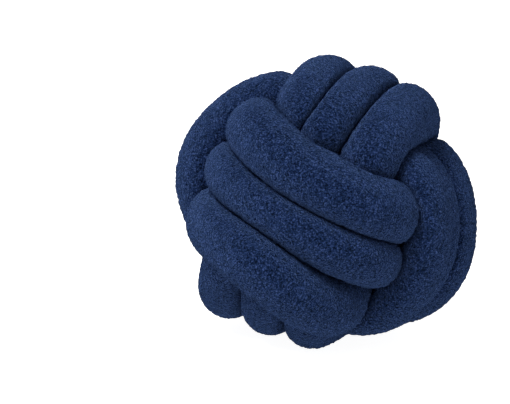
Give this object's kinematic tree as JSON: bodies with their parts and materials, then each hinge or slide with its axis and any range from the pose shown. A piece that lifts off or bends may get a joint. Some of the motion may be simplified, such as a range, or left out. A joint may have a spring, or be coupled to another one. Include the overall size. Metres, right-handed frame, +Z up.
{
  "type": "knot cushion",
  "caption": "Ball-shaped cushion of one stuffed cloth tube tied as a traditional ball knot, with curly pile and a small flat spot to rest on.",
  "frame": {"origin": "on the floor, under the middle of the cushion's box", "axes": "+Z up, -Y towards the side seen first, +X to that side's right"},
  "size_m": [0.298, 0.295, 0.2861],
  "materials": {
    "cloth": "deep navy cloth with a short dull curly pile"
  },
  "bodies": {
    "root": {"knot_tube": "cloth"}
  },
  "joints": []
}
